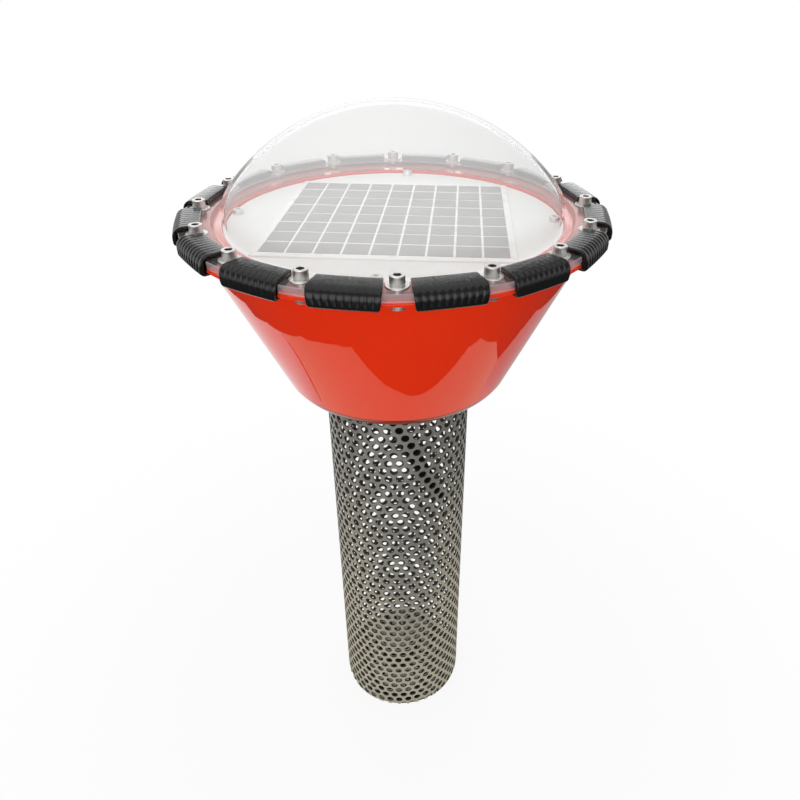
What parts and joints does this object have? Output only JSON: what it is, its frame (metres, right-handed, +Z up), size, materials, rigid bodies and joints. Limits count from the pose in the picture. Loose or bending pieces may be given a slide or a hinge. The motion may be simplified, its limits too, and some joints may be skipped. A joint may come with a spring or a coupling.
{
  "type": "water quality monitoring buoy",
  "caption": "Small water quality buoy: clear dome over a solar deck, bolted flange with rubber edge trims, red conical float and a perforated steel guard tube around the sensor probe.",
  "frame": {"origin": "centre of the guard tube's foot, on the floor", "axes": "+Z up along the buoy's axis, -Y towards the front, where one flange bolt lies"},
  "size_m": [0.3434, 0.3434, 0.6505],
  "materials": {
    "red_gelcoat": "gloss",
    "white_board": "satin",
    "white_laminate": "gloss",
    "solar_cell": "gloss",
    "clear_acrylic": "polished",
    "silicone": "satin",
    "stainless": "bright",
    "stainless_sheet": "satin",
    "black_rubber": "matte",
    "black_plastic": "matte",
    "battery_case": "matte"
  },
  "bodies": {
    "root": {"float_hull": "red_gelcoat", "deck_plate": "white_board", "deck_screws": "stainless", "solar_panel": "white_laminate", "solar_cells": "solar_cell", "dome": "clear_acrylic", "gasket": "silicone", "flange_bolts": "stainless", "flange_washers": "stainless", "flange_nuts": "stainless", "guard_tube": "stainless_sheet", "guard_base": "stainless_sheet", "guard_lugs": "stainless_sheet", "guard_screws": "stainless", "probe_gland": "black_plastic", "sensor_probe": "black_plastic", "battery": "battery_case", "edge_trim_01": "black_rubber", "edge_trim_02": "black_rubber", "edge_trim_03": "black_rubber", "edge_trim_04": "black_rubber", "edge_trim_05": "black_rubber", "edge_trim_06": "black_rubber", "edge_trim_07": "black_rubber", "edge_trim_08": "black_rubber", "edge_trim_09": "black_rubber", "edge_trim_10": "black_rubber", "edge_trim_11": "black_rubber", "edge_trim_12": "black_rubber", "edge_trim_13": "black_rubber", "edge_trim_14": "black_rubber", "edge_trim_15": "black_rubber", "edge_trim_16": "black_rubber"}
  },
  "joints": []
}
